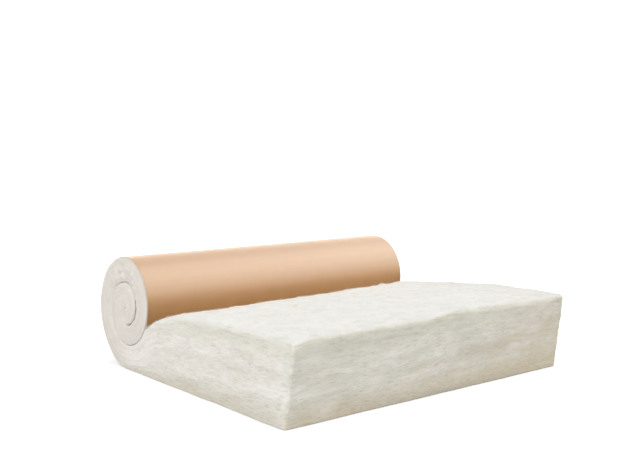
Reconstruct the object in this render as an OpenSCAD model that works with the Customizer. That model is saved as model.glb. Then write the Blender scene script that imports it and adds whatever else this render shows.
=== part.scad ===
// Insulation roll: a glass wool blanket with a kraft paper facing, wound up with the paper outwards
// and then partly unrolled. The wound turns are squeezed thin. The flat end has swollen to full thickness.
// X runs along the roll's axis, -Y points to the cut end, and the paper lies on the floor at Z = 0.

/* [Blanket] */
// Width of the blanket, which is also the length of the roll
blanket_width = 1200; // [300:10:1500]
// Thickness at the cut end, where the wool has swollen to its full size
free_thickness = 260; // [200:5:300]
// Length that lies flat, from under the roll's axis to the foot of the cut end
flat_length = 940; // [500:10:1500]
// How far the top edge of the cut end leans out past its foot
cut_lean = 40; // [0:1:60]
// Radius on the top edge of the cut end
cut_edge_radius = 12; // [2:1:20]
// Distance over which the wool swells as it leaves the roll
swell_length = 180; // [80:5:300]

/* [Roll] */
// Diameter of the roll over its outermost turn
roll_diameter = 405; // [360:1:460]
// Thickness of one squeezed turn, wool and paper together
turn_thickness = 90; // [70:1:110]
// Angle below the middle of the roll's front at which it leaves the blanket
nip_angle = 14; // [8:1:40]

/* [Facing] */
// Thickness of the kraft paper with its glue
facing_thickness = 0.5; // [0.3:0.1:1]

/* [Hidden] */
$fn = 180;

// Stretch by which a cutting shape runs past what it cuts
overrun = 10;
// Smallest half turn that is wound, as a share of a turn's thickness
core_share = 0.2;
// Points along the swelling top of the blanket, and round its cut edge
top_steps = 28;
edge_steps = 6;

roll_radius = roll_diameter / 2;
half_turn_step = turn_thickness / 2;
half_turns = floor((roll_radius - core_share * turn_thickness) / half_turn_step) + 1;

// The winding is made of half turns that shrink by half a turn's thickness each.
// Even ones lie behind the roll's axis and odd ones in front of it, about two centres in turn.
function turn_radius(k) = roll_radius - k * half_turn_step;
function turn_centre(k) = [0, roll_radius + (k % 2) * half_turn_step];

// The nip is where the front of the roll meets the top of the blanket.
nip = turn_centre(1) - turn_radius(1) * [cos(nip_angle), sin(nip_angle)];

// Height of the blanket's top at a distance in front of the nip
function top_height(d) = free_thickness - (free_thickness - nip[1]) * exp(-d / swell_length);

// The cut end leans from its foot on the paper to its top, and a round edge touches both face and top.
foot = [-flat_length, facing_thickness];
cut_rise = free_thickness - facing_thickness;
cut_slant = norm([cut_lean, cut_rise]);
edge_rise = cut_rise - cut_edge_radius;
edge_centre = foot + [(cut_edge_radius * cut_slant - edge_rise * cut_lean) / cut_rise, edge_rise];
edge_start = 90;
edge_end = 180 + atan2(cut_lean, cut_rise);
edge_points = [
    for (i = [0 : edge_steps])
        let (a = edge_start + (edge_end - edge_start) * i / edge_steps)
            edge_centre + cut_edge_radius * [cos(a), sin(a)]
];

// The top runs from just inside the roll to the round edge, with its points closest near the nip.
top_run = nip[0] - edge_centre[0];
top_points = [
    for (i = [0 : top_steps - 1])
        let (d = top_run * pow(i / top_steps, 2) - (i == 0 ? overrun : 0))
            [nip[0] - d, top_height(d)]
];

front_reach = cut_edge_radius - edge_centre[0];
depth_centre = (roll_radius - front_reach) / 2;

// Half of a ring about the centre of half turn k, on that half turn's side of the roll's axis
module half_ring(k, outer_r, inner_r) {
    reach = outer_r + overrun;
    translate(turn_centre(k)) difference() {
        circle(r = outer_r);
        translate([k % 2 == 0 ? -reach : 0, -reach]) square([reach, 2 * reach]);
        if (inner_r > 0) circle(r = inner_r);
    }
}

// The flat end of the blanket, from the cut end back to the bottom of the roll
module flat_wool_outline() {
    difference() {
        polygon(concat(
            [foot, [0, facing_thickness], turn_centre(1)],
            top_points,
            edge_points
        ));
        translate(turn_centre(1)) circle(r = turn_radius(1));
    }
}

// Each wound half turn fills the room between its own paper and the paper of the next turn in.
module wool_outline() {
    flat_wool_outline();
    for (k = [0 : half_turns - 1])
        half_ring(k, turn_radius(k) - facing_thickness, k + 2 < half_turns ? turn_radius(k + 2) : 0);
}

// The paper is under the flat wool and on the outside of every turn.
module facing_outline() {
    translate([-flat_length, 0]) square([flat_length, facing_thickness]);
    for (k = [0 : half_turns - 1])
        half_ring(k, turn_radius(k), turn_radius(k) - facing_thickness);
}

// Runs an outline, drawn as depth and height, along the width of the blanket.
module across_width() {
    translate([0, -depth_centre, 0])
        rotate([90, 0, 90])
            linear_extrude(height = blanket_width, center = true) children();
}

module wool_blanket() {
    color([0.90, 0.88, 0.83]) across_width() wool_outline();
}

module kraft_facing() {
    color([0.80, 0.60, 0.42]) across_width() facing_outline();
}

wool_blanket();
kraft_facing();
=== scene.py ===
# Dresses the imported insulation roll: the wool blanket, its kraft paper and the loose fibres on the wool.
import itertools
import math

import bmesh
import bpy
import numpy as np
from mathutils import Matrix, Vector


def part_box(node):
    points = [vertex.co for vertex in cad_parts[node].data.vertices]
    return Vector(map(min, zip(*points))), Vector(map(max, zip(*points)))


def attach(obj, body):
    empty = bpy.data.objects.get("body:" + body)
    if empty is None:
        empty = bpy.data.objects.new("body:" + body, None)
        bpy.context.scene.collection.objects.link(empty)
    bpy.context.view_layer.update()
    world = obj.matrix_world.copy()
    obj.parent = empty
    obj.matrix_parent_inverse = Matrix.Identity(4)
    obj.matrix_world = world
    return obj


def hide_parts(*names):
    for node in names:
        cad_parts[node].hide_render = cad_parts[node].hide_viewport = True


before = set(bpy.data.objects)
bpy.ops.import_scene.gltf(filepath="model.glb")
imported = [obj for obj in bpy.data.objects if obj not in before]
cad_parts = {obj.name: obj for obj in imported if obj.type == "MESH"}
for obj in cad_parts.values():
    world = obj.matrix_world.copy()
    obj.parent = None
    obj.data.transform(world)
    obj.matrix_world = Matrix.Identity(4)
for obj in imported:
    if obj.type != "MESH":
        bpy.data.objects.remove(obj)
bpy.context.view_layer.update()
print("frame loaded with", sorted(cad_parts))

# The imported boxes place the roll. Depth (Y) and height (Z) below are in the part's own frame.
paperLow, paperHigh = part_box("kraft_facing")
rollRadius = (paperHigh.z - paperLow.z) / 2
rollY = paperHigh.y - rollRadius
footY = paperLow.y
flatRun = rollY - footY
halfWidth = (paperHigh.x - paperLow.x) / 2
winding = {
    "turn": 0.090,  # one squeezed turn, wool and paper together
    "halfTurns": 5,
    "coreDrop": 0.018,  # how far the innermost turn sags
}
tiny = 1e-6


class Wire:
    # A socket of a node tree that can stand in a sum. Without a socket it only makes nodes.
    def __init__(self, tree, socket=None):
        self.tree = tree
        self.socket = socket

    def node(self, kind, settings=None, inputs=None, output=0):
        made = self.tree.nodes.new(kind)
        for name, value in (settings or {}).items():
            setattr(made, name, value)
        for name, value in (inputs or {}).items():
            if isinstance(value, Wire):
                self.tree.links.new(value.socket, made.inputs[name])
            else:
                made.inputs[name].default_value = value
        return Wire(self.tree, None if output is None else made.outputs[output])

    def other(self, output):
        return Wire(self.tree, self.socket.node.outputs[output])

    def math(self, operation, left, right):
        return self.node("ShaderNodeMath", {"operation": operation}, {0: left, 1: right})

    def __add__(self, other):
        return self.math("ADD", self, other)

    __radd__ = __add__

    def __sub__(self, other):
        return self.math("SUBTRACT", self, other)

    def __rsub__(self, other):
        return self.math("SUBTRACT", other, self)

    def __mul__(self, other):
        return self.math("MULTIPLY", self, other)

    __rmul__ = __mul__

    def __truediv__(self, other):
        return self.math("DIVIDE", self, other)

    def __rtruediv__(self, other):
        return self.math("DIVIDE", other, self)

    def between(self, limits):
        # goes smoothly from 0 to 1 between two limits
        return self.node("ShaderNodeMapRange", {"interpolation_type": "SMOOTHSTEP"},
                         {"Value": self, "From Min": limits[0], "From Max": limits[1]})

    def window(self, rise, fall):
        # goes up over one range and down again over another
        return self.between(rise) * (1 - self.between(fall))

    def blend(self, first, second):
        # colour that goes from first to second as this value goes from 0 to 1
        return self.node("ShaderNodeMix", {"data_type": "RGBA"}, {0: self, 6: first, 7: second}, 2)

    def vector(self, **numbers):
        return self.node("ShaderNodeCombineXYZ", {}, numbers)

    def axes(self):
        # the three numbers of this vector
        place = self.node("ShaderNodeSeparateXYZ", {}, {0: self})
        return [place.other(axis) for axis in "XYZ"]

    def vectorMath(self, operation, inputs):
        return self.node("ShaderNodeVectorMath", {"operation": operation}, inputs)

    def grain(self, scale, detail, roughness):
        # noise on this vector, with one scale for each axis
        stretched = self.vectorMath("MULTIPLY", {0: self, 1: scale})
        return self.node("ShaderNodeTexNoise", {}, {
            "Vector": stretched, "Scale": 1.0, "Detail": detail, "Roughness": roughness})

    def attribute(self, name):
        # a number stored on the mesh, for Geometry Nodes
        return self.node("GeometryNodeInputNamedAttribute", {"data_type": "FLOAT"}, {"Name": name})

    def bumped(self, strength, distance):
        return self.node("ShaderNodeBump", {}, {"Strength": strength, "Distance": distance, "Height": self})


def newMaterial(name):
    material = bpy.data.materials.new(name)
    material.use_nodes = True
    material.node_tree.nodes.clear()
    return material, Wire(material.node_tree)


def closeMaterial(wire, sockets):
    shader = wire.node("ShaderNodeBsdfPrincipled", {}, sockets)
    wire.node("ShaderNodeOutputMaterial", {}, {"Surface": shader}, None)


def newTree(name, given, sizes, counts, result):
    # Geometry Nodes tree that turns one geometry into another, with named inputs
    tree = bpy.data.node_groups.new(name, "GeometryNodeTree")
    sockets = [(given, "INPUT", "NodeSocketGeometry")]
    sockets += [(size, "INPUT", "NodeSocketFloat") for size in sizes]
    sockets += [(count, "INPUT", "NodeSocketInt") for count in counts]
    sockets += [(result, "OUTPUT", "NodeSocketGeometry")]
    for label, way, kind in sockets:
        tree.interface.new_socket(label, in_out=way, socket_type=kind)
    return tree, Wire(tree)


def closeTree(wire, result, geometry, material):
    real = wire.node("GeometryNodeRealizeInstances", {}, {"Geometry": geometry})
    dressed = wire.node("GeometryNodeSetMaterial", {}, {"Geometry": real, "Material": material})
    wire.node("NodeGroupOutput", {}, {result: dressed}, None)


def setInputs(modifier, values):
    for item in modifier.node_group.interface.items_tree:
        if item.in_out == "INPUT" and item.name in values:
            modifier[item.identifier] = values[item.name]


def showObject(name, data):
    made = bpy.data.objects.new(name, data)
    bpy.context.scene.collection.objects.link(made)
    return made


def addAttribute(mesh, name, kind, domain, values):
    field = "vector" if kind == "FLOAT_VECTOR" else "value"
    mesh.attributes.new(name, kind, domain).data.foreach_set(field, values.astype(np.float32).ravel())


def plainMesh(piece):
    # the evaluated modifiers become the object's own mesh
    bpy.context.view_layer.update()
    evaluated = piece.evaluated_get(bpy.context.evaluated_depsgraph_get())
    mesh = bpy.data.meshes.new_from_object(evaluated)
    mesh.name = piece.name
    old = piece.data
    piece.modifiers.clear()
    piece.data = mesh
    bpy.data.meshes.remove(old)


# Noise for the wool's relief

noiseCells = 256
noiseGain = 1.7  # brings the noise to about -1 to 1


def noiseTables(seed):
    draw = np.random.default_rng(seed)
    order = np.tile(draw.permutation(noiseCells), 2)
    slopes = draw.normal(size=(noiseCells, 3))
    return order, slopes / np.linalg.norm(slopes, axis=1, keepdims=True)


def noise3(points, seed):
    # smooth noise at an array of points, with cells one unit across
    order, slopes = noiseTables(seed)
    flat = np.asarray(points, float).reshape(-1, 3)
    cell = np.floor(flat).astype(np.int64)
    inside = flat - cell
    smooth = inside ** 3 * (inside * (inside * 6 - 15) + 10)
    total = np.zeros(len(flat))
    for corner in itertools.product((0, 1), repeat=3):
        at = (cell + corner) % noiseCells
        slope = slopes[order[order[order[at[:, 0]] + at[:, 1]] + at[:, 2]]]
        weight = np.prod(np.where(corner, smooth, 1 - smooth), axis=1)
        total += weight * np.sum((inside - corner) * slope, axis=1)
    return (total * noiseGain).reshape(np.shape(points)[:-1])


def noiseAt(a, b, c, seed):
    return noise3(np.stack(np.broadcast_arrays(a, b, c), -1), seed)


def ease(value, low, high):
    share = np.clip((value - low) / (high - low), 0, 1)
    return share * share * (3 - 2 * share)


def fade(distance, reach):
    return np.clip(1 - distance / reach, 0, 1)


def throughTable(table, at):
    # smooth curve through a table of places and values
    places, values = np.array(table, float).T
    slopes = np.gradient(values, places)
    at = np.clip(at, places[0], places[-1])
    k = np.clip(np.searchsorted(places, at, side="right") - 1, 0, len(places) - 2)
    gap = places[k + 1] - places[k]
    u = (at - places[k]) / gap
    return ((2 * u ** 3 - 3 * u ** 2 + 1) * values[k] + (u ** 3 - 2 * u ** 2 + u) * gap * slopes[k]
            + (3 * u ** 2 - 2 * u ** 3) * values[k + 1] + (u ** 3 - u ** 2) * gap * slopes[k + 1])


def bunched(count, share):
    # steps from 0 to 1 that are closer at both ends
    u = np.linspace(0, 1, count + 1)
    return (1 - share) * u + share * (1 - np.cos(math.pi * u)) / 2


# Winding: half turns about two centres in turn, even ones behind the axis and odd ones in front

def turnRadius(k):
    return rollRadius - k * winding["turn"] / 2


def turnLevel(k):
    # height at which half turn k starts
    if k % 2 == 1:
        return rollRadius + turnRadius(k - 1)
    return rollRadius - turnRadius(k) - (winding["coreDrop"] if k == winding["halfTurns"] - 1 else 0)


def turnCentre(k):
    return np.array([rollY, (turnLevel(k) + turnLevel(k + 1)) / 2])


def turnSize(k):
    return np.array([turnRadius(k), abs(turnLevel(k + 1) - turnLevel(k)) / 2])


def turnSide(k, angle):
    side = np.stack([np.sin(angle), -np.cos(angle)], axis=-1)
    return side if k % 2 == 0 else -side


def turnAngles(k, step):
    # angles along half turn k, without its start
    return np.linspace(0, math.pi, round(math.pi * turnRadius(k) / step) + 1)[1:]


# Wool blanket

wool = {
    "rows": 72,
    "rowBunch": 0.4,
    "flatColumns": 150,
    "wedgeColumns": 18,
    "topOverlap": 3,  # columns over which the top stays finely divided past the nip
    "arcStep": 0.006,
    "widthColumns": 116,
    "endBunch": 0.6,
    "weld": 2e-5,
    "clear": 0.0008,  # room for the paper on each side of a turn
    "coreClear": 0.0006,
    "floorClear": 0.0006,
    "lean": 0.048,  # how far the top of the cut end stands out past its foot
    "full": 0.260,  # thickness of the wool before it is squeezed
    # height of the top, by distance in front of the roll's axis
    "topLeft": [(0.140, 0.170), (0.189, 0.200), (0.231, 0.213), (0.292, 0.227), (0.350, 0.237),
                (0.408, 0.244), (0.587, 0.252), (0.785, 0.256), (0.980, 0.261)],
    "topMiddle": [(0.140, 0.208), (0.200, 0.222), (0.280, 0.236), (0.408, 0.248), (0.587, 0.257),
                  (0.785, 0.262), (0.980, 0.266)],
    "topRight": [(0.140, 0.220), (0.189, 0.226), (0.272, 0.234), (0.429, 0.250), (0.646, 0.268),
                 (0.813, 0.271), (0.980, 0.270)],
    "leftFade": 0.085,
    "rightFade": 0.40,
    "nipStart": 0.14,  # where the height of the nip is read from those tables
    "nipAhead": 0.15,  # about where the nip lies in front of the axis
    # how much lower the top is by the roll, by place across the width
    "nipDip": [(-0.60, 0.0), (-0.53, 0.013), (-0.47, 0.011), (-0.38, 0.008), (-0.26, 0.0095), (-0.20, 0.005),
               (-0.08, 0.006), (0.06, 0.004), (0.15, 0.006), (0.23, 0.001), (0.30, 0.0), (0.60, -0.001)],
    "nipDipReach": 0.40,
    # what the cut end's top edge rises or falls, by place across the width
    "edgeWave": [(-0.60, 0.0), (-0.40, 0.001), (-0.29, 0.003), (-0.19, 0.0), (-0.10, 0.001), (-0.02, 0.008),
                 (0.07, 0.014), (0.18, 0.013), (0.30, 0.009), (0.46, 0.003), (0.60, 0.0)],
    "edgeWaveRun": 0.22,
    # small waves of the top where it meets the roll: size, row of the noise and share of each
    "scallop": 0.009,
    "scallopReach": 0.04,
    "scallopWaves": [(0.055, 3.5, 1.0), (0.018, 1.5, 0.5)],
    # radii of the edges
    "topEdge": 0.021,
    "topEdgeRight": 0.005,
    "cornerEdge": 0.010,
    "cornerEdgeRight": 0.004,
    "footEdge": 0.002,
    "wedgeEdge": 0.0022,
    "coreEdge": 0.0010,
    "coreEdgeTurns": 3,  # half turns in the middle that have the core's edge
    "paperEdge": 0.0012,  # outer edge of a wound turn, against its paper
    # inner edge of a wound turn: in front of the axis, from its top down, and behind it, from its foot up
    "turnEdge": [(0.0, 0.0015), (0.25, 0.005), (0.38, 0.010), (0.48, 0.020), (0.60, 0.019), (0.72, 0.009),
                 (0.85, 0.005), (1.0, 0.005)],
    "turnEdgeBehind": [(0.0, 0.0045), (0.5, 0.0040), (0.75, 0.0015), (1.0, 0.0012)],
    "edgeLimit": 0.4,  # largest radius, as a share of the wool's thickness there
    "nipBlend": 0.06,  # run over which the top's edge becomes a wound turn's
    # how the radii vary: share, size, layer and seed of the noise
    "wobble": {"flat": (0.35, 0.05, 0, 21), "wound": (0.8, 0.05, 0, 21), "cut": (0.35, 0.06, 4, 22),
               "corner": (0.4, 0.12, 2, 23)},
    # the cut end's top edge gets softer towards its right, and sharper again at its right end
    "rightSoft": 0.6,
    "softFrom": (-0.20, 0.40),
    "sharpFrom": (0.48, 0.60),
    "sharpShare": 1.4,
    "rightOut": 0.013,  # how far the right end stands out at the foot of its cut end
    "rightTaper": 1.3,
    "rightReach": 0.25,
    "rightRun": 0.6,
    # creases of the outer turn where it goes over the roll
    "creases": {"depth": 0.0060, "shift": 0.014, "reach": 0.20, "size": 0.030, "through": 0.55,
                "middle": 0.55, "bow": 1.5, "inner": (0.15, 0.45), "outer": (0.75, 0.95), "gain": 3.0,
                "ground": 0.8, "layer": 3.3, "seed": 5},
    # relief of the faces
    "reliefReach": 0.030,  # how far a face's relief carries on round its edges
    "edgeReach": 0.03,
    "edgeCalm": 0.6,  # how much less relief there is by an edge
    "woundRun": 0.20,  # run over which the flat end becomes a wound turn
    "woundCalm": 0.35,
    "pillow": 0.004,
    "pillowPower": 4,
    "lumps": 0.0035,
    "lumpSize": 0.12,
    "lumpReach": 0.12,
    "lumpNoise": (7, 31),  # its layer and seed
    "topRelief": 0.8,
    "relief": 0.0028,
    "layerRelief": 0.0009,
    "flakeShare": 0.7,
    "pits": 0.002,
    "pitRange": (0.30, 0.75),
    # grain of the coarse relief, sheets, flakes and pits: across, along and through the layers
    "grains": [(0.20, 0.20, 0.075), (0.110, 0.110, 0.017), (0.050, 0.050, 0.012), (0.070, 0.070, 0.016)],
    "seed": 11,
    # where the loose fibres are
    "woundFluff": 0.3,  # share of them on the roll's ends
    "looseNip": 0.02,
    "looseSkin": 0.002,
}
coreStart = winding["halfTurns"] - 2  # from this half turn on, columns end at the middle of the roll
flatTurn, wedgeTurn = -2, -1  # what the columns before the first half turn are numbered
farOff = 1.0  # distance past the reach of every edge


def topHeight(x, ahead):
    # ahead is the distance in front of the roll's axis
    left, middle, right = (throughTable(wool[name], ahead) for name in ("topLeft", "topMiddle", "topRight"))
    height = middle + (left - middle) * (1 - ease(x, -halfWidth, -halfWidth + wool["leftFade"]))
    height = height + (right - middle) * ease(x, halfWidth - wool["rightFade"], halfWidth)
    byRoll = 1 - ease(ahead, wool["nipAhead"], wool["nipDipReach"])
    height = height - throughTable(wool["nipDip"], x) * byRoll
    fromCut = wool["topRight"][-1][0] - ahead
    height = height + throughTable(wool["edgeWave"], x) * np.exp(-fromCut / wool["edgeWaveRun"])
    waves = sum(share * noiseAt(x / size, row, 0, wool["seed"]) for size, row, share in wool["scallopWaves"])
    return height + wool["scallop"] * waves * np.exp(-np.abs(ahead - wool["nipAhead"]) / wool["scallopReach"])


def woolColumns(x):
    # section of the wool at each x: each column's paper side, inner side, run along the blanket and half turn
    x = np.asarray(x, float)[:, None]
    clear = [wool["clear"]] * (winding["halfTurns"] - 1) + [wool["coreClear"]]
    innerRadius = turnRadius(1) + wool["clear"]
    centre = turnCentre(1)
    flat = bunched(wool["flatColumns"], wool["endBunch"])[None, :]
    nipDrop = centre[1] - topHeight(x, wool["nipStart"] + 0 * x)
    nipAngle = np.arcsin(nipDrop / innerRadius)
    nipY = rollY - innerRadius * np.cos(nipAngle)
    frontTop = footY - wool["lean"]
    topY = frontTop + (nipY - frontTop) * flat
    topZ = topHeight(x, rollY - topY)
    nipFoot = rollY - innerRadius
    flatFootY = footY + (nipFoot - footY) * flat + 0 * x
    # columns between the nip and the underside of the roll
    wedge = np.linspace(0, 1, wool["wedgeColumns"] + 1)[None, 1:]
    angle = nipAngle + (math.pi / 2 - nipAngle) * wedge
    wedgeTopY = rollY - innerRadius * np.cos(angle)
    wedgeTopZ = centre[1] - innerRadius * np.sin(angle)
    wedgeFootY = nipFoot + (rollY - nipFoot) * wedge + 0 * x
    foot = [np.stack([y, np.full(y.shape, wool["floorClear"])], -1) for y in (flatFootY, wedgeFootY)]
    top = [np.stack([topY, topZ], -1), np.stack([wedgeTopY, wedgeTopZ], -1)]
    run = [flatFootY - footY, wedgeFootY - footY]
    turn = [np.full(flat.shape[1], flatTurn), np.full(wedge.shape[1], wedgeTurn)]
    start = flatRun
    pivot = np.array([rollY, turnLevel(winding["halfTurns"])])
    for k in range(winding["halfTurns"]):
        angles = turnAngles(k, wool["arcStep"])
        side = turnSide(k, angles)
        outside = turnCentre(k) + (turnSize(k) - clear[k]) * side
        if k < coreStart:
            inside = turnCentre(k + 2) + (turnSize(k + 2) + clear[k + 2]) * side
        else:
            inside = np.repeat(pivot[None, :], len(angles), axis=0)
        if k == winding["halfTurns"] - 1:
            outside[-1] = pivot
        foot.append(np.repeat(outside[None], len(x), axis=0))
        top.append(np.repeat(inside[None], len(x), axis=0))
        run.append(np.repeat((start + turnRadius(k) * angles)[None], len(x), axis=0))
        turn.append(np.full(len(angles), k))
        start += math.pi * turnRadius(k)
    return np.concatenate(foot, 1), np.concatenate(top, 1), np.concatenate(run, 1), np.concatenate(turn)


def columnPoints(base, tip, shares):
    # points up each column, with its direction, its thickness and their shares of it
    rise = tip - base
    thick = np.linalg.norm(rise, axis=-1, keepdims=True)
    up = rise / np.maximum(thick, tiny)
    place = base[:, None] + rise[:, None] * shares[None, :, None]
    shape = place.shape[:-1]
    return (place, np.broadcast_to(up[:, None], place.shape), np.broadcast_to(thick, shape),
            np.broadcast_to(shares[None, :], shape))


def roundedPair(nearFirst, nearSecond, radius):
    # moves into two faces that round off their shared edge, for points that lie on one of them
    distance = nearFirst + nearSecond
    radius = np.maximum(radius, tiny)
    angle = math.pi / 4 * fade(distance, radius)
    along = np.where(distance < radius, radius - radius * np.sin(angle) - distance, 0)
    into = radius * (1 - np.cos(angle))
    onFirst = nearFirst <= nearSecond
    return np.where(onFirst, into, along), np.where(onFirst, along, into)


def creases(x, run, share):
    # folds of the squeezed outer turn, from about -1 to 1, where it goes over the top of the roll
    crease = wool["creases"]
    overTop = flatRun + math.pi * turnRadius(0)
    bowed = run / crease["size"] + crease["bow"] * np.abs(share - crease["middle"])
    folds = noiseAt(bowed, share / crease["through"], crease["layer"] * np.sign(x), crease["seed"])
    across = ease(share, *crease["inner"]) * (1 - ease(share, *crease["outer"]))
    folded = crease["gain"] * np.abs(folds) - crease["ground"]
    return folded * fade(np.abs(run - overTop), crease["reach"]) * across


def layerPoints(x, run, share):
    # the blanket's own coordinates: across, along and through
    through = share * wool["full"] + wool["creases"]["shift"] * creases(x, run, share)
    return np.stack([x, run, through], -1)


def woolRelief(layers):
    # height of the wool's own relief, in metres, out of whichever face shows it
    coarse, sheets, flakes, pits = (
        noise3(layers / grain, wool["seed"] + k) for k, grain in enumerate(wool["grains"], 1))
    layered = sheets + wool["flakeShare"] * flakes
    pits = ease(pits, *wool["pitRange"])
    return wool["relief"] * coarse + wool["layerRelief"] * layered - wool["pits"] * pits


def wobble(name, place, row):
    # factor by which an edge's radius varies from place to place
    share, size, layer, seed = wool["wobble"][name]
    return 1 + share * noiseAt(place / size, row, layer, seed)


def edgeRadii(x, runs, shares, turns, atNip):
    # radii of the edges along the top, along the foot, at the corners and along the top of the cut end
    side = np.sign(x)
    # grooves between turns are deepest in front of the axis and fade behind it and in the core
    fromFoot = (runs - flatRun) / (math.pi * turnRadius(0))
    fromTop = (fromFoot - 1) * turnRadius(0) / turnRadius(1)
    groove = np.where(turns % 2 == 1, throughTable(wool["turnEdge"], fromTop),
                      throughTable(wool["turnEdgeBehind"], fromFoot))
    groove = np.where(turns == wedgeTurn, wool["wedgeEdge"], groove)
    groove = np.where(turns >= winding["halfTurns"] - wool["coreEdgeTurns"], wool["coreEdge"], groove)
    endEdge = np.where(side > 0, wool["topEdgeRight"], wool["topEdge"])
    topEdge = endEdge * (1 - atNip) + groove * atNip
    topEdge = topEdge * np.where(turns == flatTurn, wobble("flat", runs, side), wobble("wound", runs, side))
    footEdge = np.where(turns < 0, wool["footEdge"], wool["paperEdge"])
    footEdge = np.where(turns == winding["halfTurns"] - 1, wool["coreEdge"], footEdge)
    cornerEdge = np.where(side > 0, wool["cornerEdgeRight"], wool["cornerEdge"])
    sharper = 1 - wool["sharpShare"] * ease(x, *wool["sharpFrom"])
    softer = 1 + wool["rightSoft"] * ease(x, *wool["softFrom"]) * sharper
    cutEdge = wool["topEdge"] * wobble("cut", x, 0) * softer
    return topEdge, footEdge, cornerEdge * wobble("corner", shares, side), cutEdge


def softFace(x, place, up, runs, shares, turns, thick, nearEnd, nearTop, nearFoot, nearCut, nipRun):
    # rounds the edges of one face and gives it the wool's relief
    side = np.sign(x)
    flat = turns == flatTurn
    layer = layerPoints(x, runs, shares)
    atNip = np.where(flat, ease(runs, nipRun - wool["nipBlend"], nipRun), 1)
    topEdge, footEdge, cornerEdge, cutEdge = edgeRadii(x, runs, shares, turns, atNip)
    limit = wool["edgeLimit"] * thick
    farCut = np.where(flat, nearCut, farOff)
    endTop, topEnd = roundedPair(nearEnd, nearTop, np.minimum(topEdge, limit))
    endFoot, footEnd = roundedPair(nearEnd, nearFoot, np.minimum(footEdge, limit))
    endCut, cutEnd = roundedPair(nearEnd, farCut, cornerEdge)
    topCut, cutTop = roundedPair(nearTop, farCut, cutEdge)
    cutFoot, footCut = roundedPair(farCut, nearFoot, wool["footEdge"])
    wound = ease(runs, nipRun, nipRun + wool["woundRun"])
    calm = np.where(flat, 1 - atNip, 0)
    edges = np.sort(np.stack([nearEnd, nearTop, farCut], -1), -1)[..., 1]
    byEdge = np.where(flat, fade(edges, wool["edgeReach"]), 0)
    relief = woolRelief(layer) * (1 - wool["edgeCalm"] * byEdge)
    lumps = wool["lumps"] * noiseAt(x / wool["lumpSize"], runs / wool["lumpSize"], *wool["lumpNoise"])
    pillow = wool["pillow"] * wound * (1 - (2 * shares - 1) ** wool["pillowPower"])
    pillow = pillow * np.minimum(thick / winding["turn"], 1)
    reach = wool["reliefReach"]
    outEnd = relief * (1 - wool["woundCalm"] * wound) + pillow
    outEnd = outEnd + wool["creases"]["depth"] * creases(x, runs, shares)
    outEnd = outEnd * fade(nearEnd, reach) - endTop - endFoot - endCut
    taper = wool["rightOut"] * (1 - wool["rightTaper"] * shares) * (side > 0)
    outEnd = outEnd + taper * fade(nearEnd, wool["rightReach"]) * fade(runs, wool["rightRun"])
    outCut = relief * fade(farCut, reach) * flat - cutEnd - cutTop - cutFoot
    outTop = lumps * fade(nearTop, wool["lumpReach"]) + wool["topRelief"] * relief * fade(nearTop, reach)
    rise = footEnd + footCut - topEnd - topCut
    spot = np.stack([x + side * outEnd, place[..., 0] + up[..., 0] * rise - outCut,
                     place[..., 1] + up[..., 1] * rise + outTop * calm], -1)
    # loose edges: along the top, the corners and the nip
    byNip = fade(np.abs(runs - nipRun), wool["looseNip"])
    loose = byEdge + np.where(nearTop < wool["looseSkin"], byNip, 0)
    return spot, layer, np.clip(loose, 0, 1)


def weldMesh(mesh):
    work = bmesh.new()
    work.from_mesh(mesh)
    bmesh.ops.remove_doubles(work, verts=work.verts, dist=wool["weld"])
    bmesh.ops.dissolve_degenerate(work, edges=work.edges, dist=tiny)
    for face in work.faces:
        face.smooth = True
    work.to_mesh(mesh)
    work.free()


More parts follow.
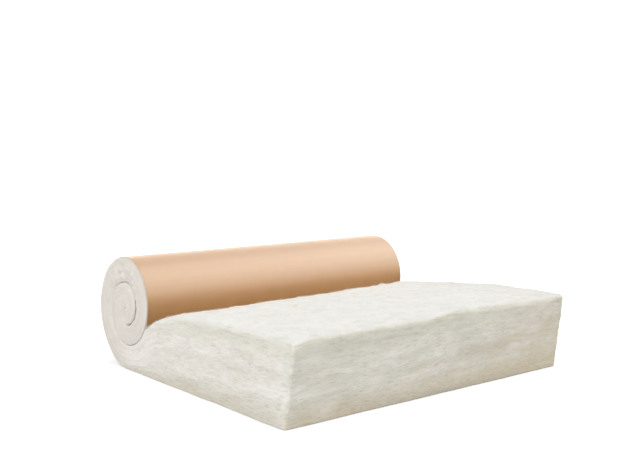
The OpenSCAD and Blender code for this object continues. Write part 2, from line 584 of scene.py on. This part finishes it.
def woolGrids():
    # points of both ends, the top and the cut end, and the numbers of their points as four grids
    rows = wool["rows"]
    share = bunched(rows, wool["rowBunch"])
    across = (2 * bunched(wool["widthColumns"], wool["endBunch"]) - 1) * halfWidth
    foot, top, run, turn = woolColumns(across)
    nipRun = run[0, wool["flatColumns"]]
    flatLast = wool["flatColumns"] + wool["topOverlap"]
    points, layers, loose = [], [], []

    def add(*face, core=None):
        spot, layer, edge = softFace(*face, nipRun)
        if core is not None:
            # the innermost columns all end at one point
            spot[core, -1] = spot[-1, -1]
            spot[-1] = spot[-1, -1]
        first = sum(len(block) for block in points)
        points.append(spot.reshape(-1, 3))
        layers.append(layer.reshape(-1, 3))
        loose.append(edge.reshape(-1))
        return first + np.arange(edge.size).reshape(edge.shape)

    # both ends, columns by rows
    ends = []
    for m in (0, len(across) - 1):
        place, up, thick, shares = columnPoints(foot[m], top[m], share)
        runs = np.broadcast_to(run[m][:, None], shares.shape)
        turns = np.broadcast_to(turn[:, None], shares.shape)
        ends.append(add(np.full(shares.shape, across[m]), place, up, runs, shares, turns, thick,
                        np.zeros(shares.shape), (1 - shares) * thick, shares * thick, runs,
                        core=turn >= coreStart))
    left, right = ends

    # top, from the cut end to just inside the nip
    inner = slice(1, -1)
    place = top[inner, :flatLast]
    runs = run[inner, :flatLast]
    shape = runs.shape
    x = np.broadcast_to(across[inner, None], shape)
    turns = np.broadcast_to(turn[None, :flatLast], shape)
    rise = place - foot[inner, :flatLast]
    thick = np.linalg.norm(rise, axis=-1)
    nearCut = place[..., 0] - (footY - wool["lean"])
    topIds = add(x, place, rise / thick[..., None], runs, np.ones(shape), turns, thick, halfWidth - np.abs(x),
                 np.zeros(shape), np.full(shape, farOff), nearCut).T
    topIds = np.concatenate([left[:flatLast, rows:], topIds, right[:flatLast, rows:]], 1)

    # cut end
    place, up, thick, shares = columnPoints(foot[inner, 0], top[inner, 0], share[:-1])
    shape = shares.shape
    x = np.broadcast_to(across[inner, None], shape)
    cutIds = add(x, place, up, np.zeros(shape), shares, np.full(shape, flatTurn), thick,
                 halfWidth - np.abs(x), (1 - shares) * thick, shares * thick, np.zeros(shape)).T
    cutIds = np.concatenate([left[:1, :-1].T, cutIds, right[:1, :-1].T], 1)
    cutIds = np.concatenate([cutIds, topIds[:1]], 0)
    made = [np.concatenate(blocks) for blocks in (points, layers, loose)]
    return made, (left, right, topIds, cutIds), turn


def makeWool():
    (points, layers, loose), (left, right, topIds, cutIds), turn = woolGrids()
    rows, nip = wool["rows"], wool["flatColumns"]
    flatLast = nip + wool["topOverlap"]
    faces = []

    def quads(grid):
        corners = [grid[:-1, :-1], grid[1:, :-1], grid[1:, 1:], grid[:-1, 1:]]
        faces.extend(np.stack(corners, -1).reshape(-1, 4).tolist())

    # each grid is listed so that its faces look outwards, the flat end's first
    for grid in (left[:nip + 1, ::-1], right[:nip + 1], topIds[:nip + 1, ::-1], cutIds[:, ::-1]):
        quads(grid)
    flatFaces = len(faces)
    for grid in (left[nip:, ::-1], right[nip:]):
        quads(grid)
    openFaces = len(faces)
    quads(topIds[nip:, ::-1])
    # hidden sides: one strip across the width for each column
    faces.append(topIds[-1].tolist() + [int(right[flatLast, rows]), int(left[flatLast, rows])])
    faces.append([int(left[1, 0]), int(right[1, 0])] + cutIds[0, ::-1].tolist())
    hidden = slice(flatLast, int(np.searchsorted(turn, coreStart)) + 1)
    quads(np.stack([right[hidden, rows], left[hidden, rows]], 1))
    quads(np.stack([left[1:, 0], right[1:, 0]], 1))

    mesh = bpy.data.meshes.new("wool_batt")
    mesh.from_pydata(points.tolist(), [], faces)
    addAttribute(mesh, "layers", "FLOAT_VECTOR", "POINT", layers)
    addAttribute(mesh, "looseEdge", "FLOAT", "POINT", loose)
    # share of the loose fibres on each face, with none on the hidden sides
    number = np.arange(len(faces))
    fluff = np.where(number < flatFaces, 1.0, np.where(number < openFaces, wool["woundFluff"], 0.0))
    addAttribute(mesh, "fluff", "FLOAT", "FACE", fluff)
    weldMesh(mesh)
    return showObject("wool_batt", mesh)


woolLook = {
    "light": (0.888, 0.857, 0.815, 1),
    "shade": (0.735, 0.700, 0.620, 1),
    "green": (0.650, 0.645, 0.520, 1),
    "warm": (0.690, 0.605, 0.475, 1),
    "lowSide": (0.675, 0.635, 0.540, 1),
    "foot": (0.280, 0.320, 0.320, 1),
    "byRoll": (0.950, 0.920, 0.900, 1),
    "mottle": (0.600, 0.585, 0.515, 1),
    "speck": (0.500, 0.455, 0.350, 1),
    "rim": (0.930, 0.915, 0.870, 1),
    "line": (0.380, 0.340, 0.290, 1),
    "yellow": (0.960, 0.910, 0.720, 1),
    "wound": (0.735, 0.680, 0.630, 1),
    "top": (0.808, 0.798, 0.771, 1),
    "topShade": (0.762, 0.760, 0.742, 1),
    "topFar": (0.650, 0.642, 0.615, 1),
    # how strongly each of them shows
    "greenShare": 0.36,
    "greenLess": 0.6,  # less of it towards the right
    "shadeBandShare": 0.32,  # painted shade: a greenish band just below the top edge
    "shadeBandLess": 0.75,  # less of it by the roll
    "warmShare": 0.45,
    "warmAcross": 0.14,  # more of it towards the right, and low down
    "warmLow": 0.16,
    "lowShare": 0.76,  # tan band along the paper
    "rightShare": 0.28,  # the cut end is more tan towards its right
    "footShare": 0.27,  # shaded foot of the cut end
    "footLess": 0.7,  # less of it at the right end
    "byRollShare": 0.30,  # paler by the roll
    "streakShare": 0.55,  # one darker streak on the cut end
    "speckShare": 0.55,  # dark dashes
    "lowClusters": 0.26,  # more of them low down, and on the cut end
    "cutClusters": 0.04,
    "mottleShare": 0.18,  # broad grey and pale patches
    "cutMottle": 0.24,  # more of them on the cut end
    "paleGain": 1.8,
    "cutShare": 0.16,  # pale yellow tint of the cut end
    "cornerHighlightShare": 0.35,  # painted highlight: pale strip on the sides along their corner with the cut end
    "woundShare": 0.60,  # the squeezed turns are a little darker
    "lineShare": 0.45,
    "topShare": 0.28,  # how much of the grain shows on the smooth top
    "farShare": 0.45,  # the top is greyer along its right end
    "swell": 0.08,
    "swellRun": 0.7,
    "bumpStrength": 1.0,
    "bump": 0.0010,
    "roughness": 0.95,
    "specular": 0.06,
    # noise on the layers: scale across, along and through them, detail and roughness
    "grain": {"streaks": ((30, 30, 210), 4.0, 0.6), "strands": ((110, 110, 620), 3.0, 0.6),
              "patches": ((10, 10, 34), 4.0, 0.6), "specks": ((36, 36, 230), 3.0, 0.55),
              "clouds": ((6, 6, 26), 4.0, 0.65), "warmth": ((7, 7, 20), 4.0, 0.6),
              "blotches": ((15, 15, 4), 3.0, 0.6)},
    "streakMix": 0.6,  # streaks in the fine grain, with strands for the rest
    # where each look comes in or goes out: by strength of the noise
    "fineRange": (0.32, 0.60),
    "greyRange": (0.36, 0.56),
    "paleRange": (0.50, 0.68),
    "greenRange": (0.50, 0.70),
    "shadeBandRange": (0.30, 0.55),
    "warmRange": (0.46, 0.70),
    "clusterRange": (0.42, 0.62),
    "speckRange": (0.52, 0.70),
    "blotchRange": (0.36, 0.60),
    # by height, as a share of the thickness
    "topHeight": (0.985, 1.0),
    "shadeBandHeight": (0.70, 0.92),
    "lowHeight": (0.0, 0.36),
    "footHeight": (0.0, 0.12),
    "cornerHighlightHeight": (0.50, 0.85),
    "lineHeight": (0.01, 0.05),
    "byRollHeight": (0.08, 0.28),
    "streakHeight": ((0.27, 0.40), (0.41, 0.55)),
    # by place across the width
    "greenAcross": (0.15, 0.50),
    "tanAcross": (0.10, 0.50),
    "footAcross": (-0.40, -0.10),
    "footEndAcross": (0.25, 0.45),
    "farAcross": (0.40, 0.60),
    "streakAcross": ((0.00, 0.18), (0.21, 0.40)),
    # by the run along the blanket
    "cutAlong": (0.004, 0.012),
    "cornerHighlightAlong": (0.015, 0.055),
    "shadeBandAlong": (0.40, 0.72),
    "byRollAlong": (0.64, 0.80),
    "woundAlong": (0.85, 1.05),
    "lineAlong": ((1.50, 1.75), (1.88, 2.0)),
}


def woolMaterial():
    material, wire = newMaterial("glass_wool")
    look = woolLook
    layers = wire.node("ShaderNodeAttribute", {"attribute_name": "layers"}, {}, "Vector")
    across, along, through = layers.axes()
    height = through / wool["full"]
    # on the sides the streaks rise a little towards the cut end, where the wool has swollen
    swell = wire.math("MINIMUM", along, look["swellRun"]) * look["swell"]
    streaked = wire.vector(X=across, Y=along, Z=through + swell)
    streaks, strands, patches, specks, clouds = (
        streaked.grain(*look["grain"][name])
        for name in ("streaks", "strands", "patches", "specks", "clouds"))
    warmth, blotches = (layers.grain(*look["grain"][name]) for name in ("warmth", "blotches"))
    cut = 1 - along.between(look["cutAlong"])
    flat = 1 - along.between(look["woundAlong"])
    low = (1 - height.between(look["lowHeight"])) * flat
    fine = streaks * look["streakMix"] + strands * (1 - look["streakMix"])
    mottle = look["mottleShare"] + cut * look["cutMottle"]
    green = 1 - across.between(look["greenAcross"]) * look["greenLess"]
    green = patches.between(look["greenRange"]) * green * look["greenShare"]
    # painted shade: a greenish, streaky band just below the top edge, with less of it by the roll
    band = height.between(look["shadeBandHeight"]) * streaks.between(look["shadeBandRange"])
    band = band * (1 - along.between(look["shadeBandAlong"]) * look["shadeBandLess"]) * look["shadeBandShare"]
    # the wool is warmer, darker and more tan low down, and one side of the blanket is a little more tan
    warmth = warmth + across * look["warmAcross"] + (0.5 - height) * look["warmLow"]
    tan = cut * (low * look["lowShare"] + across.between(look["tanAcross"]) * look["rightShare"])
    foot = (1 - height.between(look["footHeight"])) * cut * across.between(look["footAcross"])
    foot = foot * (1 - across.between(look["footEndAcross"]) * look["footLess"])
    streak = across.window(*look["streakAcross"]) * height.window(*look["streakHeight"]) * cut
    # painted highlight: a pale strip on the lower part of each side, next to its corner with the cut end
    rim = (1 - cut - along.between(look["cornerHighlightAlong"])) * (1 - height.between(look["cornerHighlightHeight"]))
    # thin shaded line along the paper, where it goes over the roll
    lined = (1 - height.between(look["lineHeight"])) * along.window(*look["lineAlong"])
    # dark dashes along the layers, in clusters
    clusters = patches + low * look["lowClusters"] + cut * look["cutClusters"]
    dashes = specks.between(look["speckRange"]) * clusters.between(look["clusterRange"])
    byRoll = along.between(look["byRollAlong"]) * flat * height.between(look["byRollHeight"])
    tints = [
        ((1 - clouds.between(look["greyRange"])) * mottle, "mottle"),
        (clouds.between(look["paleRange"]) * mottle * look["paleGain"], "rim"),
        # greenish patches, and the painted shade band below the top edge
        (green + band, "green"),
        (warmth.between(look["warmRange"]) * look["warmShare"] + tan, "warm"),
        (low * (1 - cut) * look["lowShare"], "lowSide"),
        (foot * look["footShare"], "foot"),
        (streak * look["streakShare"], "speck"),
        (cut * look["cutShare"], "yellow"),
        # the painted highlight beside the cut corner
        (rim * look["cornerHighlightShare"], "rim"),
        ((1 - flat) * look["woundShare"], "wound"),
        (lined * look["lineShare"], "line"),
        (dashes * look["speckShare"], "speck"),
        (byRoll * look["byRollShare"], "byRoll"),
    ]
    colour = fine.between(look["fineRange"]).blend(look["shade"], look["light"])
    for mask, tint in tints:
        colour = mask.blend(colour, look[tint])
    topColour = blotches.between(look["blotchRange"]).blend(look["topShade"], look["top"])
    topColour = (across.between(look["farAcross"]) * look["farShare"]).blend(topColour, look["topFar"])
    shown = 1 - height.between(look["topHeight"]) * (1 - look["topShare"])
    colour = shown.blend(topColour, colour)
    closeMaterial(wire, {"Base Color": colour, "Roughness": look["roughness"],
                         "Normal": fine.bumped(look["bumpStrength"], look["bump"]),
                         "Specular IOR Level": look["specular"]})
    return material


woolPiece = makeWool()
woolPiece.data.materials.append(woolMaterial())
print("wool made with", len(woolPiece.data.polygons), "faces")


# Loose fibres that stand off the wool

fibres = {
    "density": 2600.0,  # for each square metre
    "edgeDensity": 14000.0,
    "offFloor": (0.009, 0.013),  # heights over which they begin
    "length": 0.030,
    "bow": 0.0030,
    "radius": 0.00024,
    "bends": 2,
    "sides": 3,
    "tilt": math.radians(10),
    "spin": 0.3,  # how far from level one may lie on the cut faces
    "upward": (0.5, 0.8),  # how level a face is before they lie any way round on it
    "sizes": (0.5, 1.3),
    "seed": 3,
    "pale": (0.88, 0.87, 0.83, 1),
    "tan": (0.70, 0.62, 0.48, 1),
    "tanShare": 0.7,
    "tanRange": (0.50, 0.75),
    "grain": ((25, 25, 60), 2.0, 0.5),
    "roughness": 0.8,
    "specular": 0.2,
}


def fibreTree(material):
    sizes = ("Density", "Edge density", "Length", "Bow", "Radius", "Tilt")
    tree, wire = newTree("wool_fibres", "Wool", sizes, ("Seed",), "Fibres")
    given = wire.node("NodeGroupInput")
    seed = given.other("Seed")

    def chance(low, high, step):
        return wire.node("FunctionNodeRandomValue", {"data_type": "FLOAT"},
                         {2: low, 3: high, 8: seed + step}, 1)

    height = wire.node("GeometryNodeInputPosition").axes()[2]
    density = given.other("Density") + given.other("Edge density") * wire.attribute("looseEdge")
    density = density * wire.attribute("fluff") * height.between(fibres["offFloor"])
    spots = wire.node("GeometryNodeDistributePointsOnFaces", {"distribute_method": "RANDOM"}, {
        "Mesh": given.other("Wool"), "Density": density, "Seed": seed})
    # one bowed fibre along X
    half = given.other("Length") * 0.5
    line = wire.node("GeometryNodeCurveQuadraticBezier", {}, {
        "Resolution": fibres["bends"], "Start": wire.vector(X=half * -1),
        "Middle": wire.vector(Z=given.other("Bow") * 2), "End": wire.vector(X=half)})
    section = wire.node("GeometryNodeCurvePrimitiveCircle", {"mode": "RADIUS"}, {
        "Resolution": fibres["sides"], "Radius": given.other("Radius")})
    fibre = wire.node("GeometryNodeCurveToMesh", {}, {
        "Curve": line, "Profile Curve": section, "Fill Caps": True})
    # level on the cut faces, as the layers are, and any way round on the top
    upward = spots.other("Normal").axes()[2].between(fibres["upward"])
    spin = chance(-fibres["spin"], fibres["spin"], 1) * (1 - upward) + chance(-math.pi, math.pi, 2) * upward
    tilt = (chance(0.0, 2.0, 3) - 1) * given.other("Tilt")
    turn = wire.node("FunctionNodeEulerToRotation", {}, {0: wire.vector(Y=tilt, Z=spin)})
    laid = wire.node("FunctionNodeRotateRotation", {"rotation_space": "LOCAL"}, {
        0: spots.other("Rotation"), 1: turn})
    scattered = wire.node("GeometryNodeInstanceOnPoints", {}, {
        "Points": spots, "Instance": fibre, "Rotation": laid, "Scale": chance(*fibres["sizes"], 4)})
    closeTree(wire, "Fibres", scattered, material)
    return tree


def fibreMaterial():
    material, wire = newMaterial("wool_fibre")
    mixed = wire.node("ShaderNodeTexCoord", {}, {}, "Object").grain(*fibres["grain"])
    tanned = mixed.between(fibres["tanRange"]) * fibres["tanShare"]
    closeMaterial(wire, {"Base Color": tanned.blend(fibres["pale"], fibres["tan"]),
                         "Roughness": fibres["roughness"], "Specular IOR Level": fibres["specular"]})
    return material


def makeFibres():
    piece = showObject("wool_fibres", woolPiece.data.copy())
    scatter = piece.modifiers.new("scatter", "NODES")
    scatter.node_group = fibreTree(fibreMaterial())
    setInputs(scatter, {"Density": fibres["density"], "Edge density": fibres["edgeDensity"],
                        "Length": fibres["length"], "Bow": fibres["bow"], "Radius": fibres["radius"],
                        "Tilt": fibres["tilt"], "Seed": fibres["seed"]})
    plainMesh(piece)
    return piece


fibrePiece = makeFibres()
print("fibres made with", len(fibrePiece.data.polygons), "faces")


# Kraft paper, swept along the winding by a node tree

paper = {
    "thickness": 0.0005,
    "pathStep": 0.006,
    "acrossSteps": 60,
    "alongSteps": 360,
    "ripple": 0.0010,
    "rippleSize": 0.16,
    "rippleRun": 0.15,  # run past the flat end over which the ripples come in
    "endWave": 0.0020,
    "endWaveScale": 9.0,
    # how far the sheet's edges lie inside the wool's, and which of these each half turn starts and ends with
    "inset": {"flat": 0.007, "roll": 0.0022, "nip": 0.008, "inner": 0.0025, "core": 0.025},
    "insetPlaces": ("roll", "roll", "nip", "inner", "inner", "core"),
    "insetRun": 0.10,  # run before the roll over which the flat end's inset changes
    "insetTurn": (0.60 * math.pi, 0.68 * math.pi),  # angles of a half turn between which it changes
    "frontInset": 0.006,
    "sharpAngle": math.radians(40),
    "seed": 4,
}


def facingPath():
    # the sheet's path along the winding, and how far its edges lie inside the wool's
    inset = paper["inset"]
    flat = np.linspace(footY + paper["frontInset"], rollY, round(flatRun / paper["pathStep"]) + 1)
    parts = [np.stack([flat, 0 * flat], -1)]
    insets = [inset["flat"] + (inset["roll"] - inset["flat"]) * ease(flat, rollY - paper["insetRun"], rollY)]
    for k in range(winding["halfTurns"]):
        angles = turnAngles(k, paper["pathStep"])
        parts.append(turnCentre(k) + turnSize(k) * turnSide(k, angles))
        before, after = (inset[name] for name in paper["insetPlaces"][k:k + 2])
        insets.append(before + (after - before) * ease(angles, *paper["insetTurn"]))
    return np.concatenate(parts), np.concatenate(insets)


def paperTree(material):
    sizes = ("Width", "Ripple", "Ripple size", "End wave", "Flat run")
    tree, wire = newTree("kraft_sweep", "Path", sizes, ("Across", "Along", "Seed"), "Sheet")
    given = wire.node("NodeGroupInput")
    curve = wire.node("GeometryNodeMeshToCurve", {}, {"Mesh": given.other("Path")})
    length = wire.node("GeometryNodeCurveLength", {}, {"Curve": curve})
    grid = wire.node("GeometryNodeMeshGrid", {}, {
        "Size X": given.other("Width"), "Size Y": length,
        "Vertices X": given.other("Across"), "Vertices Y": given.other("Along")})
    x, y = wire.node("GeometryNodeInputPosition").axes()[:2]
    along = y + length * 0.5
    onSheet = wire.vector(X=x, Y=along)
    sample = wire.node("GeometryNodeSampleCurve", {"mode": "LENGTH", "use_all_curves": True},
                       {"Curves": curve, "Value": wire.attribute("inset"), "Length": along}, "Position")
    # ripples lift the wound part off the path, towards the inside of the winding
    inward = wire.vectorMath("CROSS_PRODUCT", {0: (1.0, 0.0, 0.0), 1: sample.other("Tangent")})
    noise = wire.node("ShaderNodeTexNoise", {"noise_dimensions": "4D"}, {
        "Vector": onSheet, "W": given.other("Seed"), "Scale": 1 / given.other("Ripple size"), "Detail": 1.0})
    wound = (along - given.other("Flat run")).between((0.0, paper["rippleRun"]))
    lift = (0.5 - noise) * 2 * given.other("Ripple") * wound
    # both edges are drawn in by the inset, and wave a little
    endNoise = wire.node("ShaderNodeTexNoise", {"noise_dimensions": "1D"}, {
        "W": along, "Scale": paper["endWaveScale"]})
    tuck = sample.other("Value") + endNoise * given.other("End wave")
    spread = tuck * (x / given.other("Width")) * -2
    spot = wire.vectorMath("ADD", {0: sample, 1: wire.vectorMath("SCALE", {0: inward, "Scale": lift})})
    spot = wire.vectorMath("ADD", {0: spot, 1: wire.vector(X=x + spread)})
    run = wire.node("GeometryNodeStoreNamedAttribute", {"data_type": "FLOAT_VECTOR", "domain": "POINT"}, {
        "Geometry": grid, "Name": "paperRun", "Value": onSheet})
    moved = wire.node("GeometryNodeSetPosition", {}, {"Geometry": run, "Position": spot})
    smooth = wire.node("GeometryNodeSetShadeSmooth", {}, {"Geometry": moved})
    closeTree(wire, "Sheet", smooth, material)
    return tree


paperLook = {
    "base": (0.424, 0.202, 0.051, 1),
    "pale": (0.451, 0.220, 0.062, 1),
    "deep": (0.384, 0.180, 0.044, 1),
    # painted sheen: paler, less saturated colour for the top of the roll
    "topSheen": (0.436, 0.240, 0.104, 1),
    "paleRange": (0.36, 0.64),
    "deepRange": (0.50, 0.72),
    "deepShare": 0.35,
    "topSheenAlong": ((1.35, 1.50), (1.62, 1.71)),  # painted sheen, along the top of the roll
    # noise on the sheet: scale across and along it, detail and roughness
    "grain": {"buckles": ((1.3, 46, 1), 4.0, 0.6), "clouds": ((18, 30, 1), 3.0, 0.55),
              "strands": ((420, 900, 1), 2.0, 0.6)},
    "buckleShare": 0.6,  # buckles in the broad grain, with clouds for the rest
    "roughness": 0.46,
    "cloudRoughness": 0.10,
    "strandRoughness": 0.08,
    "diffuseRoughness": 1.0,
    "specular": 0.5,
    "bumpStrength": 0.4,
    "bump": 0.0004,
    "bumpShares": (0.8, 0.5, 0.4),  # of buckles, clouds and strands
}


def paperMaterial():
    material, wire = newMaterial("kraft_paper")
    look = paperLook
    run = wire.node("ShaderNodeAttribute", {"attribute_name": "paperRun"}, {}, "Vector")
    buckles, clouds, strands = (run.grain(*look["grain"][name]) for name in ("buckles", "clouds", "strands"))
    broad = buckles * look["buckleShare"] + clouds * (1 - look["buckleShare"])
    colour = broad.between(look["paleRange"]).blend(look["base"], look["pale"])
    colour = (strands.between(look["deepRange"]) * look["deepShare"]).blend(colour, look["deep"])
    # painted sheen: the paper is paler along the top of the roll
    colour = run.axes()[1].window(*look["topSheenAlong"]).blend(colour, look["topSheen"])
    rough = look["roughness"] + (clouds - 0.5) * look["cloudRoughness"]
    rough = rough + (strands - 0.5) * look["strandRoughness"]
    ofBuckles, ofClouds, ofStrands = look["bumpShares"]
    relief = buckles * ofBuckles + clouds * ofClouds + strands * ofStrands
    closeMaterial(wire, {"Base Color": colour, "Roughness": rough,
                         "Normal": relief.bumped(look["bumpStrength"], look["bump"]),
                         "Specular IOR Level": look["specular"],
                         "Diffuse Roughness": look["diffuseRoughness"]})
    return material


def makePaper():
    path, insets = facingPath()
    mesh = bpy.data.meshes.new("kraft_path")
    mesh.from_pydata([(0, y, z) for y, z in path], [(i, i + 1) for i in range(len(path) - 1)], [])
    addAttribute(mesh, "inset", "FLOAT", "POINT", insets)
    piece = showObject("kraft_sheet", mesh)
    sweep = piece.modifiers.new("sweep", "NODES")
    sweep.node_group = paperTree(paperMaterial())
    setInputs(sweep, {"Width": 2 * halfWidth, "Ripple": paper["ripple"], "Ripple size": paper["rippleSize"],
                      "End wave": paper["endWave"], "Flat run": flatRun,
                      "Across": paper["acrossSteps"], "Along": paper["alongSteps"], "Seed": paper["seed"]})
    wall = piece.modifiers.new("wall", "SOLIDIFY")
    wall.thickness = paper["thickness"]
    wall.offset = 1
    plainMesh(piece)
    piece.data.set_sharp_from_angle(angle=paper["sharpAngle"])
    return piece, float(np.linalg.norm(np.diff(path, axis=0), axis=1).sum())


paperPiece, paperLength = makePaper()
print("paper made,", round(paperLength, 3), "m long, with", len(paperPiece.data.polygons), "faces")


# Stage: floor, light and camera

stage = {
    "floorSize": 120.0,
    "floorDrop": 0.0006,
    "floorColour": (0.62, 0.62, 0.615, 1),
    "floorGloss": (0.22, 0.22, 0.22, 1),  # as the paper's gloss shows it
    "floorSeen": (0.95, 0.95, 0.945, 1),  # paler to the camera than in the light that it throws back
    "floorGlow": (0.30, 0.30, 0.30, 1),
    "floorRoughness": 0.9,
    "floorSpecular": 0.1,
    "skyColour": (1, 1, 1, 1),
    "skyLight": 0.35,
    "skySeen": 1.1,
    "skyGloss": 2.2,
    # each broad light: direction from the part, degrees that it takes up, power and colour
    "lights": {"right": ((0.60, -0.18, 0.78), 56.0, 1.37, (1, 1, 1)),
               "left": ((-0.74, -0.33, 0.60), 46.0, 1.94, (1, 1, 1)),
               "gloss": ((0.35, -0.53, 0.76), 86.0, 9.2, (0.88, 1, 1.03)),
               "glossFar": ((0.42, 0.80, 0.30), 70.0, 0.70, (1, 1, 1))},
}


def makeFloor():
    half = stage["floorSize"] / 2
    mesh = bpy.data.meshes.new("floor")
    corners = [(-half, -half, 0), (half, -half, 0), (half, half, 0), (-half, half, 0)]
    mesh.from_pydata(corners, [], [range(4)])
    floor = showObject("floor", mesh)
    floor.location.z = -stage["floorDrop"]
    material, wire = newMaterial("pale_floor")
    seen = wire.node("ShaderNodeLightPath", {}, {}, "Is Camera Ray")
    thrown = seen.other("Is Glossy Ray").blend(stage["floorColour"], stage["floorGloss"])
    closeMaterial(wire, {"Base Color": seen.blend(thrown, stage["floorSeen"]),
                         "Emission Color": seen.blend((0, 0, 0, 1), stage["floorGlow"]),
                         "Emission Strength": 1.0, "Roughness": stage["floorRoughness"],
                         "Specular IOR Level": stage["floorSpecular"]})
    mesh.materials.append(material)


def makeSky():
    world = bpy.data.worlds.new("studio")
    bpy.context.scene.world = world
    world.use_nodes = True
    world.node_tree.nodes.clear()
    sky = Wire(world.node_tree)
    seen = sky.node("ShaderNodeLightPath", {}, {}, "Is Camera Ray")
    glossy = seen.other("Is Glossy Ray")
    strength = (stage["skyLight"] + seen * (stage["skySeen"] - stage["skyLight"])
                + glossy * (stage["skyGloss"] - stage["skyLight"]))
    shade = sky.node("ShaderNodeBackground", {}, {"Color": stage["skyColour"], "Strength": strength})
    sky.node("ShaderNodeOutputWorld", {}, {"Surface": shade}, None)
    bpy.context.scene.view_settings.view_transform = "Standard"


def makeLights():
    for name, (towards, spread, power, colour) in stage["lights"].items():
        light = bpy.data.lights.new(name, "SUN")
        light.angle = math.radians(spread)
        light.energy = power
        light.color = colour
        lamp = showObject(name, light)
        lamp.rotation_euler = Vector(towards).to_track_quat("Z", "Y").to_euler()
        lamp.visible_diffuse = "gloss" not in name  # those only shine on what is glossy


camera = {
    "place": (-2.1288, -2.6073, 0.8011),
    "azimuth": -38.460,
    "elevation": 5.518,
    "roll": -0.267,
    "lens": 53.95,
    "sensor": 36.0,
}


def makeCamera():
    a, e, r = (math.radians(camera[name]) for name in ("azimuth", "elevation", "roll"))
    back = Vector((math.sin(a) * math.cos(e), -math.cos(a) * math.cos(e), math.sin(e)))
    right = Vector((math.cos(a), math.sin(a), 0))
    up = back.cross(right)
    right, up = math.cos(r) * right + math.sin(r) * up, math.cos(r) * up - math.sin(r) * right
    data = bpy.data.cameras.new("photo_view")
    data.lens = camera["lens"]
    data.sensor_width = camera["sensor"]
    view = showObject("photo_view", data)
    view.matrix_world = Matrix.Translation(camera["place"]) @ Matrix((right, up, back)).transposed().to_4x4()
    bpy.context.scene.camera = view


makeFloor()
makeSky()
makeLights()
makeCamera()
print("stage set")

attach(woolPiece, "root")
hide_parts("wool_blanket")
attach(fibrePiece, "root")
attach(paperPiece, "root")
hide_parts("kraft_facing")
